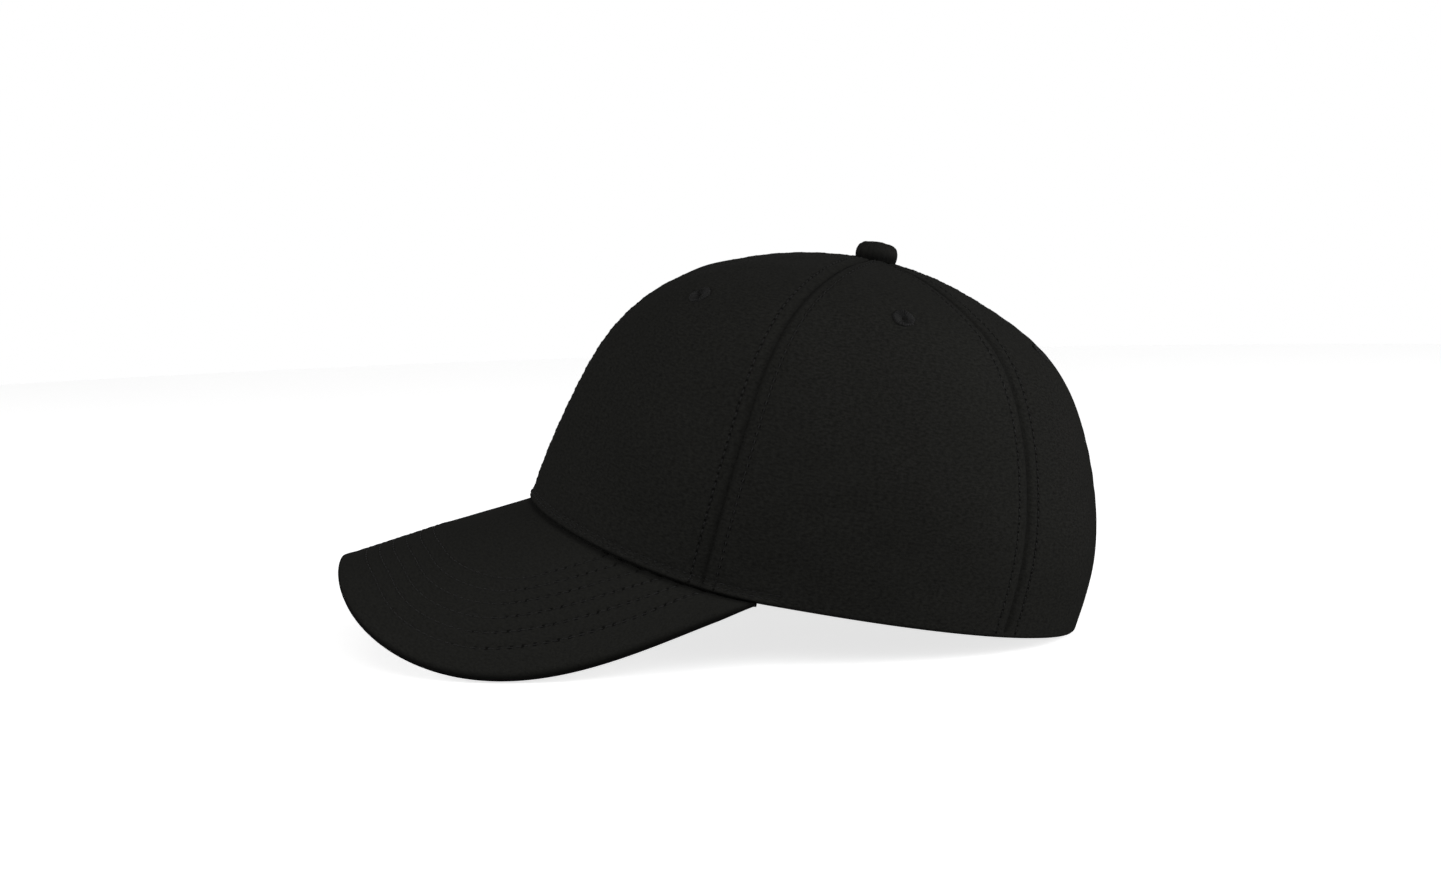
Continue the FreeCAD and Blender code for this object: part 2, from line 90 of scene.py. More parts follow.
# Sewing
SEAM_ROW = 0.0044  # topstitching runs this far from each seam
STITCH_PITCH = 0.0027
STITCH_LENGTH = 0.0021
THREAD_RADIUS = 0.00021
FOLD_THICKNESS = 0.0026  # the hem is folded up inside the crown
FOLD_HEIGHT = 0.0075
FOLD_RADIUS = 0.0017
FOLD_INNER_SHARE = 0.45  # the fold's inner side is less round
PANEL_THICKNESS = 0.0010
STRIP_END = 83.0  # the rolled strip over the bill fades out at this angle
STRIP_ROWS = (0.0027, 0.0042)  # its two rows of topstitching, above the hem
BILL_ROWS = range(6)
BILL_ROW_PITCH = 0.0048
BILL_ROW_CLOSER = 0.00125  # less than that at the sides
FIRST_ROW = 0.0098  # the outermost row's distance from the edge at the front
FIRST_ROW_CLOSER = 0.0039  # less than that at the sides
BILL_STITCH_PITCH = 0.0031
BILL_STITCH_LENGTH = 0.0027
HIDDEN_HOLES = 0.0010  # added to the distance from a row at the bill's front, hides the painted shade and dents of its needle holes
HANDS = (("left", 1), ("right", -1))
UP = np.array([0.0, 0.0, 1.0])

# ---- Crown surface ----

def natural_spline(knots, values):
    """A function of an array of places that runs smoothly through the points."""
    knots, values = np.array(knots), np.array(values)
    steps = np.diff(knots)
    slopes = np.diff(values, axis=0) / steps[:, None]
    matrix, change = np.eye(len(knots)), np.zeros_like(values)
    for i in range(1, len(knots) - 1):
        matrix[i, i - 1:i + 2] = steps[i - 1], 2 * (steps[i - 1] + steps[i]), steps[i]
        change[i] = 6 * (slopes[i] - slopes[i - 1])
    bends = np.linalg.solve(matrix, change)

    def value(place):
        i = np.clip(np.searchsorted(knots, place, side="right") - 1, 0, len(steps) - 1)
        step = steps[i][..., None]
        left = (knots[i + 1] - place)[..., None] / step
        right = 1 - left
        bulge = ((left ** 3 - left) * bends[i] + (right ** 3 - right) * bends[i + 1]) * step ** 2 / 6
        return left * values[i] + right * values[i + 1] + bulge

    return value


MERIDIANS = [natural_spline(LEVELS, points) for points in (FRONT, SIDE, BACK)]


def length(vectors):
    """The lengths of an array of vectors."""
    return np.linalg.norm(vectors, axis=-1)


def unit(vectors):
    """The vectors at length 1."""
    return vectors / np.maximum(length(vectors), 1e-12)[..., None]


def run_along(points, axis=0):
    """How far each point of a grid lies along its line."""
    first = np.take(points, [0], axis=axis)
    return np.cumsum(length(np.diff(points, axis=axis, prepend=first)), axis=axis)


def between_angles(angle, other=0.0):
    """Degrees from one angle to another, without a sign."""
    return np.abs((angle - other + 180) % 360 - 180)


def crown_point(angle, level):
    """The CAD's outer face of the crown."""
    angle, level = np.broadcast_arrays(np.radians(angle), np.asarray(level, float))
    front, side, back = (meridian(level) for meridian in MERIDIANS)
    share = (side[..., 1] - front[..., 1]) / np.maximum(back[..., 1] - front[..., 1], 1e-9)
    centre = front + (back - front) * share[..., None]
    cosine, sine = np.cos(angle), np.sin(angle)
    reach = (np.abs(cosine) ** RING_SQUARENESS + np.abs(sine) ** RING_SQUARENESS) ** (-1 / RING_SQUARENESS)
    along = np.where((cosine > 0)[..., None], (front - centre), (centre - back)) * cosine[..., None]
    along[..., 0] += side[..., 0] * sine
    return centre + along * reach[..., None]


def crown_normal(angle, level):
    """Outward unit normal of the crown."""
    across = crown_point(angle + 1, level) - crown_point(angle - 1, level)
    upward = crown_point(angle, level + 0.01) - crown_point(angle, np.maximum(level - 0.01, -0.05))
    return unit(np.cross(across, upward))


def per_degree(angle, level):
    """The distance along a level for one degree."""
    return length(crown_point(angle + 0.5, level) - crown_point(angle - 0.5, level))


def hem_level(angle):
    """Level of the crown's lower edge: the bill's arch lifts it at the front."""
    turn = np.minimum(between_angles(angle) / CORNER_ANGLE, 1)
    return FRONT_RISE_LEVEL * (1 - turn ** 2) ** FRONT_RISE_POWER


def rise_per_level(angle):
    """The distance up the crown for one level, just above the hem."""
    start = hem_level(angle)
    return length(crown_point(angle, start + 0.05) - crown_point(angle, start)) / 0.05


def level_above_hem(angle, height):
    """The level that lies height above the hem."""
    return hem_level(angle) + height / rise_per_level(angle)


def hill(place, middle, width):
    """A smooth hill of height 1."""
    return np.exp(-((place - middle) / width) ** 2)


def ramp(place, start, end):
    """Rises smoothly from 0 at start to 1 at end."""
    share = np.clip((place - start) / (end - start), 0, 1)
    return share * share * (3 - 2 * share)


def waves(count, shortest, longest, seed):
    """Gentle random waves in space, about 1 high: a function of an array of points."""
    draw = np.random.default_rng(seed)
    directions = unit(draw.normal(size=(count, 3)))
    turns = 2 * math.pi / draw.uniform(shortest, longest, count)
    starts = draw.uniform(0, 2 * math.pi, count)
    return lambda points: np.sin(points @ directions.T * turns + starts).sum(-1) / math.sqrt(count / 2)


soft_swell = waves(9, 0.035, 0.080, 3)
small_swell = waves(12, 0.010, 0.022, 4)


def seam_place(angle, level):
    """Distance to the nearest seam, and the scale of its sewing, which shrinks towards the button."""
    gaps = [between_angles(angle, seam) * per_degree(seam, level) for seam in SEAM_LABELS]
    scale = np.clip(per_degree(angle, level) * 60 / 0.013, 0.05, 1)
    return np.min(gaps, axis=0) / scale, scale


def hem_round(height):
    """How far the rolled fold draws in at a height above its edge."""
    short = np.clip(FOLD_RADIUS - height, 0, FOLD_RADIUS)
    return FOLD_RADIUS - np.sqrt(FOLD_RADIUS ** 2 - short ** 2)


def eyelet_dip(points, width=0.006):
    """1 at an eyelet's middle, fading to 0 over width."""
    dip = 0
    for angle, level in EYELETS.values():
        for side in (1, -1):
            dip = dip + hill(length(points - crown_point(side * angle, level)), 0, width)
    return dip


def strip_share(angle):
    """1 over the bill, where the crown's edge is a rolled strip, and 0 behind its corners."""
    return 1 - ramp(between_angles(angle), STRIP_END - 4, STRIP_END)


# The sewn crown's relief: how far a feature stands out (a groove is negative), and its width
SEAM_GROOVE = (-0.00060, 0.00095)
SEAM_VALLEY = (-0.00045, 0.0022)
ROW_GROOVE = (-0.00014, 0.0006)
ALLOWANCE_EDGE = (0.00012, 0.0016)  # the seam's folded edges inside push the cloth out
PUCKER = (0.00007, 0.003)
PUCKER_PITCH = 0.0081
STRIP_ROLL = (0.00060, 0.0011)
STRIP_ROW_GROOVE = (-0.00026, 0.0005)
SWELL = 0.00045  # gentle unevenness of the open cloth, and its finer part
FINE_SWELL = 0.00010
EYELET_DIP = 0.0005


def feature(place, middle, shape):
    """The relief of one feature whose middle is at a place."""
    height, width = shape
    return height * hill(place, middle, width)


def crown_relief(angle, level, points):
    """How far the sewn cloth stands out from the CAD's outer face."""
    seam, scale = seam_place(angle, level)
    height = (level - hem_level(angle)) * rise_per_level(angle)
    above_fold = ramp(height, 0.0005, 0.0025)
    sewing = feature(seam, 0, SEAM_GROOVE) + feature(seam, 0, SEAM_VALLEY)
    sewing = sewing + feature(seam, SEAM_ROW, ROW_GROOVE) + feature(seam, 0.0062, ALLOWANCE_EDGE)
    pucker = np.sin(height * 2 * math.pi / PUCKER_PITCH) * feature(seam, 0.0056, PUCKER)
    rows = sum(feature(height, row, STRIP_ROW_GROOVE) for row in STRIP_ROWS)
    hem = strip_share(angle) * (feature(height, 0.0014, STRIP_ROLL) + rows) - hem_round(height)
    open_cloth = ramp(seam, 0.002, 0.022) * ramp(height, 0.002, 0.020)
    swell = open_cloth * (SWELL * soft_swell(points) + FINE_SWELL * small_swell(points))
    return scale * above_fold * (sewing + pucker) + hem + swell - EYELET_DIP * eyelet_dip(points)


def crown_surface(angle, level):
    """The outer face of the sewn crown and its unit normal."""
    points, normals = crown_point(angle, level), crown_normal(angle, level)
    return points + normals * crown_relief(angle, level, points)[..., None], normals


# ---- Bill surface ----

def arch_height(x, y):
    """Height of the bill's upper face: a crest line that falls forward, arched to the sides."""
    crest = CREST_HEIGHT - (CREST_Y - y) * CREST_SLOPE
    deepening = 1 + ARCH_GROWTH * (ARCH_START - y)
    return crest - deepening * (ARCH_RADIUS - np.sqrt(ARCH_RADIUS ** 2 - x ** 2))


def bill_line(angle):
    """The ends in plan of the line across the bill at a crown angle, and its root's height."""
    root = crown_point(angle, hem_level(angle))
    ahead = BILL_CENTRE - root[..., 1]
    spread = (np.abs(root[..., 0]) / BILL_HALF_WIDTH) ** BILL_SQUARENESS
    spread = spread + (np.abs(ahead) / (BILL_CENTRE - BILL_FRONT)) ** BILL_SQUARENESS
    stretch = spread ** (-1 / BILL_SQUARENESS)
    edge = np.stack([root[..., 0] * stretch, BILL_CENTRE - ahead * stretch], axis=-1)
    taper = 1 - (np.abs(angle) / CORNER_ANGLE) ** 14
    gap = BILL_CROWN_GAP * (1 - ramp(np.abs(angle), 50, 75)) - 0.0001
    return root[..., :2], root[..., :2] + (edge - root[..., :2]) * taper[..., None], root[..., 2] - gap


def bill_point(angle, share):
    """The CAD's upper face of the bill: share is 0 at the crown and 1 at the outline."""
    angle, share = np.broadcast_arrays(np.asarray(angle, float), share)
    root, edge, root_height = bill_line(angle)
    plan = root + (edge - root) * share[..., None]
    fade = (1 - share) ** 2
    turn = np.abs(angle) / CORNER_ANGLE
    lift = (root_height - arch_height(root[..., 0], root[..., 1])) * (fade + (1 - fade) * turn ** 4)
    height = arch_height(plan[..., 0], plan[..., 1]) + lift
    return np.concatenate([plan, height[..., None]], axis=-1)


def bill_normal(angle, share):
    """Upward unit normal of the bill."""
    outward = bill_point(angle, share + 0.004) - bill_point(angle, share - 0.004)
    across = bill_point(angle + 0.3, share) - bill_point(angle - 0.3, share)
    return unit(np.cross(outward, across))


BILL_OUTLINE = bill_point(np.linspace(-BILL_END_ANGLE, BILL_END_ANGLE, 200), 1.0)


def edge_distance(points):
    """Distance in plan from points on the bill to its edge."""
    flat = points[..., :2].reshape(-1, 1, 2)
    start, end = BILL_OUTLINE[:-1, :2], BILL_OUTLINE[1:, :2]
    run = end - start
    share = np.clip(((flat - start) * run).sum(-1) / (run ** 2).sum(-1), 0, 1)
    return length(flat - start - share[..., None] * run).min(axis=1).reshape(points.shape[:-1])


def bill_thickness(angle):
    """The bill is pressed thin where it runs out at its corners."""
    return BILL_THICKNESS * (1 - 0.75 * ramp(np.abs(angle), 70, CORNER_ANGLE))


def rim_round(distance, radius):
    """How far the cover curves down near the bill's edge."""
    short = np.clip(1 - distance / radius, 0, 1)
    return radius * (1 - (1 - short ** RIM_SQUARENESS) ** (1 / RIM_SQUARENESS))


def row_count(angle, distance):
    """Counts the sewn rows in from the edge: 0 on the first row.  At the sides they lie closer."""
    turn = np.abs(angle)
    side = ramp(turn, 12, 34)
    bend = 0.0019 * hill(turn, 13, 6) + 0.0015 * ramp(turn, 55, 70)
    first = FIRST_ROW - FIRST_ROW_CLOSER * side + bend
    return (distance - first) / (BILL_ROW_PITCH - BILL_ROW_CLOSER * side)


def side_share(angle):
    """1 at the sides of the bill, where the stitches are pulled in, 0 at its front."""
    return ramp(np.abs(angle), 20, 36)


def bill_relief(angle, distance, points):
    """How far the quilted cover stands out."""
    count = row_count(angle, distance)
    rows = sum(hill(count, row, 0.15) for row in BILL_ROWS)
    between = sum(hill(count, row + 0.5, 0.27) for row in [-1, *BILL_ROWS])
    inner = ramp(distance, 0.002, 0.006)
    swell = 0.00012 * soft_swell(points) + 0.00003 * small_swell(points)
    groove = 0.00014 + 0.00024 * side_share(angle)
    return inner * (0.00012 * between - groove * rows + swell)


def bill_surface(angle, share, face):
    """The outer face of the bill's cloth, upper (face 1) or under (face -1).

    Returns its points, their outward normals and their distances from the edge.
    """
    points, normals = bill_point(angle, share), bill_normal(angle, share)
    distance = edge_distance(points)
    lift = bill_relief(angle, distance, points) - rim_round(distance, bill_thickness(angle) / 2)
    if face < 0:
        bulge = RIM_BULGE * hill(distance, 0.0016, 0.0010) * bill_thickness(angle) / BILL_THICKNESS
        lift = -bill_thickness(angle) - lift - bulge
    return points + normals * lift[..., None], normals * face, distance


# ---- Meshes ----

def grid_faces(first, columns, rows):
    """The quads of a grid whose points are numbered column by column from first."""
    number = first + np.arange(columns * rows).reshape(columns, rows)
    corners = [number[:-1, :-1], number[1:, :-1], number[1:, 1:], number[:-1, 1:]]
    return np.stack(corners, axis=-1).reshape(-1, 4)


def rim_numbers(first, columns, rows):
    """The numbers of a grid's outer points, in a ring."""
    number = first + np.arange(columns * rows).reshape(columns, rows)
    return np.concatenate([number[:-1, 0], number[-1, :-1], number[:0:-1, -1], number[0, :0:-1]])


def new_object(name, data):
    """An object with that data, in the scene."""
    made = bpy.data.objects.new(name, data)
    bpy.context.scene.collection.objects.link(made)
    return made


def new_piece(name, points, faces, material, uv=None, marks=None):
    """A smooth shaded mesh that rides on the cap.

    uv gives a place on the cloth in metres for each point, and marks are named numbers for each
    point that the material reads.
    """
    mesh = bpy.data.meshes.new(name)
    mesh.from_pydata(points.tolist(), [], faces)
    mesh.polygons.foreach_set("use_smooth", [True] * len(mesh.polygons))
    corners = np.empty(len(mesh.loops), dtype=np.int32)
    mesh.loops.foreach_get("vertex_index", corners)
    if uv is not None:
        layer = mesh.uv_layers.new(name="cloth")
        layer.data.foreach_set("uv", uv[corners].ravel())
    for mark, values in (marks or {}).items():
        layer = mesh.attributes.new(mark, "FLOAT", "POINT")
        layer.data.foreach_set("value", values.astype(np.float32).ravel())
    mesh.materials.append(material)
    mesh.validate()
    mesh.update()
    piece = new_object(name, mesh)
    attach(piece, "root")
    return piece


def closed_shell(name, outer, inner, material, marks=None):
    """A closed sheet between two grids of points that run side by side."""
    columns, rows = outer.shape[:2]
    count = columns * rows
    faces = [grid_faces(0, columns, rows), grid_faces(count, columns, rows)[:, ::-1]]
    ring, far_ring = rim_numbers(0, columns, rows), rim_numbers(count, columns, rows)
    faces.append(np.stack([ring, far_ring, np.roll(far_ring, -1), np.roll(ring, -1)], axis=-1))
    across = run_along(outer)
    across = across - across[columns // 2]
    uv = np.stack([across, run_along(outer, 1)], axis=-1).reshape(-1, 2)
    doubled = {mark: np.concatenate([values.ravel()] * 2) for mark, values in (marks or {}).items()}
    points = np.concatenate([outer.reshape(-1, 3), inner.reshape(-1, 3)])
    faces = np.concatenate(faces).tolist()
    return new_piece(name, points, faces, material, np.concatenate([uv, uv]), doubled)


def dress(node, material):
    """Gives a CAD piece a material."""
    mesh = bpy.data.objects[node].data
    mesh.materials.clear()
    mesh.materials.append(material)


class Thread:
    """Collects stitches, each a short twisted strand that dives into the cloth at both ends."""

    SIDES = 6
    RINGS = 6

    def __init__(self):
        self.points, self.faces, self.count = [], [], 0

    def strand(self, centres, normals, radius):
        """One strand round a line of RINGS centres."""
        along = unit(np.gradient(centres, axis=0))
        across = unit(np.cross(normals, along))
        outward = np.cross(along, across)
        turn = np.arange(self.SIDES) * 2 * math.pi / self.SIDES
        share = np.linspace(0, 1, self.RINGS)[:, None]
        taper = 0.55 + 0.45 * np.sin(math.pi * share) ** 0.5
        swell = 1 + 0.16 * np.cos(2 * (turn - 2 * math.pi * share))
        around = across[:, None] * np.cos(turn)[:, None] + outward[:, None] * np.sin(turn)[:, None]
        self.points.append((centres[:, None] + around * (radius * taper * swell)[..., None]).reshape(-1, 3))
        number = self.count + np.arange(self.RINGS * self.SIDES).reshape(self.RINGS, self.SIDES)
        for ring in range(self.RINGS - 1):
            near, far = number[ring], number[ring + 1]
            self.faces += [(near[k], near[k - 1], far[k - 1], far[k]) for k in range(self.SIDES)]
        self.faces += [number[0], number[-1][::-1]]
        self.count += self.RINGS * self.SIDES

    def row(self, points, normals, pitch=STITCH_PITCH, stitch=STITCH_LENGTH, radius=THREAD_RADIUS):
        """Stitches along a line of points on the cloth, with its normals."""
        run = run_along(points)
        share = np.linspace(0, 1, self.RINGS)
        lift = radius * (1.5 * np.sin(math.pi * share) ** 0.7 - 1.0)
        for start in np.arange(pitch - stitch, run[-1] - stitch, pitch):
            at = start + share * stitch
            place, facing = (np.stack([np.interp(at, run, axis) for axis in values.T], axis=-1)
                             for values in (points, normals))
            facing = unit(facing)
            self.strand(place + facing * lift[:, None], facing, radius)

    def piece(self, name, material, slot):
        """The collected stitches as one piece."""
        return new_piece(name, np.concatenate(self.points), self.faces, material)


# ---- Materials ----

RIB_PITCH = 0.0007  # the twill's diagonal ribs
NAP_LENGTH = 0.0016  # its raised hairs lie in short level streaks
NAP_WIDTH = 0.0008
HOLE_REACH = 0.00062  # a needle hole's shade ends this far from its row
HOLE_CORE = 0.00022


class Shader:
    """A node material under construction.  Its body output is the place on the object in metres."""

    def __init__(self, name):
        self.material = bpy.data.materials.new(name)
        self.material.use_nodes = True
        self.tree = self.material.node_tree
        self.principled = self.tree.nodes["Principled BSDF"]
        self.body = self.add("TexCoord", output=3)

    def connect(self, node, inputs):
        """Gives a node's inputs their values, or links them to other nodes' outputs."""
        for socket, value in inputs.items():
            if isinstance(value, bpy.types.NodeSocket):
                self.tree.links.new(value, node.inputs[socket])
            else:
                node.inputs[socket].default_value = value

    def add(self, kind, inputs=None, output=0, **settings):
        """A node with those inputs and settings.  Returns its output."""
        made = self.tree.nodes.new("ShaderNode" + kind)
        for setting, value in settings.items():
            setattr(made, setting, value)
        self.connect(made, inputs or {})
        return made.outputs[output]

    def math(self, operation, first, second=0.0, third=0.0):
        """A Math node."""
        return self.add("Math", {0: first, 1: second, 2: third}, operation=operation)

    def times(self, first, second):
        """A product."""
        return self.math("MULTIPLY", first, second)

    def sum(self, value, share, other):
        """A share of a value, plus another value."""
        return self.math("MULTIPLY_ADD", value, share, other)

    def sine(self, phase):
        """A sine wave from 0 to 1."""
        return self.sum(self.math("SINE", phase), 0.5, 0.5)

    def cloth(self):
        """The place on the unrolled cloth, and its coordinates across and up."""
        place = self.add("UVMap", uv_map="cloth")
        return place, self.add("SeparateXYZ", {0: place}), self.add("SeparateXYZ", {0: place}, 1)

    def mark(self, name):
        """A number that the mesh gives for each point."""
        return self.add("Attribute", output=2, attribute_name=name)

    def scaled(self, vector, scale):
        """A vector times a scale for each axis."""
        return self.add("Mapping", {"Vector": vector, "Scale": scale})

    def noise(self, vector, size, detail=3.0, roughness=0.55):
        """Cloudy noise whose clouds are about size metres across, or as many units of the vector."""
        inputs = {"Vector": vector, "Scale": 1 / size, "Detail": detail, "Roughness": roughness}
        return self.add("TexNoise", inputs)

    def between(self, value, low, high, start=0.0, end=1.0):
        """Maps low..high to start..end, smoothly."""
        inputs = {"Value": value, "From Min": low, "From Max": high, "To Min": start, "To Max": end}
        return self.add("MapRange", inputs, interpolation_type="SMOOTHSTEP")

    def vary(self, noise, low, high):
        """Spreads a noise over low..high."""
        return self.between(noise, 0.3, 0.7, low, high)

    def blend(self, share, first, second):
        """A colour between two."""
        return self.add("MixRGB", {0: share, 1: first, 2: second})

    def bump(self, height, distance, strength):
        """Fine relief, too small for the mesh."""
        return self.add("Bump", {"Height": height, "Distance": distance, "Strength": strength})

    def finish(self, colour, rough, bump, others=None):
        """Sets the surface's sockets, and returns the material."""
        sockets = {"Base Color": colour, "Roughness": rough, "Normal": bump, **(others or {})}
        self.connect(self.principled, sockets)
        return self.material


def grey(value, olive=0.09):
    """A neutral colour of that linear brightness, with a little less blue."""
    return (value, value, value * (1 - olive), 1.0)


def twill(name, brightness, row_pitch, grain=1.0):
    """Brushed wool-blend twill: fine diagonal ribs under a short nap that lies in level streaks.

    One mark paints shade into the colour, darkening folds, grooves, holes and edges.  With a row_pitch, the
    marks row_run and row_distance place the needle holes of sewn rows, dented in the bump and darkened with
    painted shade.
    """
    shader = Shader(name)
    place, across, up = shader.cloth()
    wobble = shader.noise(shader.body, 0.003, 2.0)
    diagonal = shader.sum(up, 1.6, across)
    ribs = shader.sine(shader.sum(diagonal, 2 * math.pi / RIB_PITCH, shader.times(wobble, 5.0)))
    nap = shader.noise(shader.scaled(place, (1 / NAP_LENGTH, 1 / NAP_WIDTH, 1.0)), 1.0, 4.0, 0.65)
    fuzz = shader.noise(shader.body, 0.0009, 3.0, 0.7)
    tone = shader.noise(shader.body, 0.06, 2.0)
    texture = shader.sum(nap, 0.9, shader.sum(ribs, 0.14, shader.times(fuzz, 0.40)))
    shade = shader.times(shader.between(texture, 0.46, 0.94), 0.92)
    shade = shader.sum(shader.vary(tone, 0.0, 1.0), 0.08, shade)
    spread = 0.46 * grain
    colour = shader.blend(shade, grey(brightness * (1 - spread)), grey(brightness * (1 + spread)))
    # Painted shade: where the mark reaches 1 the colour falls to a fifth of its brightness.
    colour = shader.blend(shader.mark("crease_and_painted_shade"), colour, grey(brightness * 0.2))
    height = texture
    if row_pitch:
        near = shader.between(shader.math("ABSOLUTE", shader.mark("row_distance")), HOLE_REACH, HOLE_CORE)
        phase = shader.math("FRACT", shader.times(shader.mark("row_run"), 1 / row_pitch))
        gap = shader.between(shader.math("ABSOLUTE", shader.math("SUBTRACT", phase, 0.11)), 0.26, 0.10)
        hole_dent_and_painted_shade = shader.times(near, gap)
        # Painted shade: the needle holes darken to three tenths of the cloth's brightness; the same mask
        # dents the bump.
        colour = shader.blend(hole_dent_and_painted_shade, colour, grey(brightness * 0.3))
        height = shader.sum(hole_dent_and_painted_shade, -1.2, texture)
    bump = shader.bump(height, 0.00026 * grain, 0.8)
    rough = shader.between(nap, 0.2, 0.8, 0.82, 0.98)
    gloss = {"Sheen Weight": 0.008, "Sheen Roughness": 0.5, "Specular IOR Level": 0.03}
    return shader.finish(colour, rough, bump, gloss)


def thread_material(name, brightness, roughness):
    """Polyester sewing thread: a fine twist with a little gloss."""
    shader = Shader(name)
    wave = {"Vector": shader.body, "Scale": 900.0, "Distortion": 2.0, "Detail": 1.0}
    twist = shader.add("TexWave", wave)
    tone = shader.noise(shader.body, 0.004)
    share = shader.sum(twist, 0.4, shader.times(tone, 0.6))
    colour = shader.blend(share, grey(brightness * 0.7, 0.02), grey(brightness * 1.35, 0.02))
    rough = shader.vary(tone, roughness - 0.08, roughness + 0.08)
    gloss = {"Sheen Weight": 0.02, "Specular IOR Level": 0.15}
    return shader.finish(colour, rough, shader.bump(twist, 0.00008, 0.6), gloss)


def plain_weave(name, brightness, pitch, sheen=0.15, roughness=0.8, open_share=0.0):
    """Plain weave: warp and weft over and under.  open_share darkens the gaps, as in a net."""
    shader = Shader(name)
    _, across, up = shader.cloth()
    warp, weft = (shader.math("SINE", shader.times(way, 2 * math.pi / pitch)) for way in (across, up))
    checks = shader.sum(shader.times(warp, weft), 0.5, 0.5)
    threads = shader.math("MAXIMUM", shader.math("ABSOLUTE", warp), shader.math("ABSOLUTE", weft))
    fuzz = shader.noise(shader.body, 0.0012, 3.0, 0.7)
    tone = shader.noise(shader.body, 0.018)
    share = shader.sum(checks, 0.4, shader.sum(fuzz, 0.35, shader.times(tone, 0.25)))
    colour = shader.blend(share, grey(brightness * 0.6, 0.02), grey(brightness * 1.4, 0.02))
    gaps = shader.between(threads, 0.75, 0.35, 0.0, open_share)
    colour = shader.blend(gaps, colour, grey(brightness * 0.15))
    height = shader.sum(checks, 0.6, shader.sum(threads, 0.5, shader.times(fuzz, 0.4)))
    rough = shader.vary(fuzz, roughness - 0.07, roughness + 0.07)
    gloss = {"Sheen Weight": sheen, "Specular IOR Level": 0.3}
    return shader.finish(colour, rough, shader.bump(height, 0.0002, 0.7), gloss)


def herringbone(name, brightness):
    """Cotton twill tape: ribs that change direction down its middle."""
    shader = Shader(name)
    _, across, up = shader.cloth()
    zigzag = shader.math("PINGPONG", across, 0.0015)
    ribs = shader.sine(shader.times(shader.math("ADD", zigzag, up), 2 * math.pi / 0.0008))
    fuzz = shader.noise(shader.body, 0.001, 3.0, 0.7)
    share = shader.sum(ribs, 0.55, shader.times(fuzz, 0.45))
    colour = shader.blend(share, grey(brightness * 0.55), grey(brightness * 1.5))
    rough = shader.vary(fuzz, 0.72, 0.88)
    return shader.finish(colour, rough, shader.bump(share, 0.0002, 0.8), {"Sheen Weight": 0.15})


def foam_material(name):
    """Open-cell foam."""
    shader = Shader(name)
    cells = shader.add("TexVoronoi", {"Vector": shader.body, "Scale": 900.0})
    tone = shader.noise(shader.body, 0.01)
    colour = shader.blend(shader.between(cells, 0.1, 0.6), grey(0.05), grey(0.11))
    colour = shader.blend(shader.times(tone, 0.3), colour, grey(0.14, 0.06))
    return shader.finish(colour, shader.vary(tone, 0.85, 0.97), shader.bump(cells, 0.0004, 0.8))


def board_material(name):
    """Moulded plastic stiffener, slightly scuffed."""
    shader = Shader(name)
    grain = shader.noise(shader.body, 0.0012, 4.0)
    tone = shader.noise(shader.body, 0.03)
    colour = shader.blend(tone, grey(0.25, 0.02), grey(0.36, 0.02))
    return shader.finish(colour, shader.vary(grain, 0.38, 0.55), shader.bump(grain, 0.0001, 0.5))


def metal_material(name):
    """Stamped tinplate with fine brushing and dull spots."""
    shader = Shader(name)
    brushed = shader.noise(shader.scaled(shader.body, (1.0, 12.0, 1.0)), 0.002, 4.0)
    spots = shader.noise(shader.body, 0.0015, 4.0)
    colour = shader.blend(spots, grey(0.38, 0.01), grey(0.58, 0.01))
    bump = shader.bump(brushed, 0.00005, 0.4)
    return shader.finish(colour, shader.vary(spots, 0.26, 0.48), bump, {"Metallic": 1.0})


def floor_material(name):
    """Pale matt studio paper, clear from below."""
    shader = Shader(name)
    fibres = shader.noise(shader.body, 0.004, 4.0)
    colour = shader.blend(fibres, grey(0.86, 0.0), grey(0.89, 0.0))
    glow = {"Emission Color": (1, 1, 1, 1), "Emission Strength": 0.75}
    material = shader.finish(colour, 0.9, shader.bump(fibres, 0.0002, 0.2), glow)
    clear = shader.add("BsdfTransparent")
    below = shader.add("NewGeometry", output=6)
    seen = shader.add("MixShader", {0: below, 1: shader.principled.outputs[0], 2: clear})
    shader.connect(shader.tree.nodes["Material Output"], {"Surface": seen})
    return material


CROWN_CLOTH = twill("crown_twill", 0.0134, STITCH_PITCH)
BILL_CLOTH = twill("bill_twill", 0.0140, BILL_STITCH_PITCH, 0.7)
UNDER_CLOTH = twill("under_bill_twill", 0.0140, BILL_STITCH_PITCH, 0.7)
BUTTON_CLOTH = twill("button_twill", 0.0125, None, 0.6)
THREAD = thread_material("sewing_thread", 0.0085, 0.5)
# Painted highlight: a lighter copy of the sewing thread, for the light that the bill's rows catch.
BILL_THREAD_PAINTED_HIGHLIGHT = thread_material("bill_sewing_thread_painted_highlight", 0.0145, 0.5)
EYELET_THREAD = thread_material("eyelet_thread", 0.0105, 0.65)
BAND_CLOTH = plain_weave("sweatband_cotton", 0.022, 0.0009)
BUCKRAM = plain_weave("buckram_net", 0.020, 0.0016, 0.05, 0.6, 0.75)
HEM_CLOTH = plain_weave("hem_tape_cotton", 0.020, 0.0008)
LABEL_CLOTH = plain_weave("label_satin", 0.16, 0.0004, 0.1, 0.45)
TAPE_CLOTH = herringbone("seam_tape_twill", 0.024)
FOAM = foam_material("open_cell_foam")
BOARD = board_material("moulded_board")
METAL = metal_material("tinplate")

# ---- Crown ----

# Columns beside a seam: their distances from it.  The first one lies just past the seam, so that
# neighbouring panels overlap and no slit opens between them.
EDGE_STEPS = np.array([-0.00004, 0.0003, 0.0007, 0.0010, 0.0013, 0.0017, 0.0021, 0.0025, 0.0028, 0.0031,
                       0.0034, 0.0038, 0.0043, 0.0049, 0.0056, 0.0065, 0.0076])


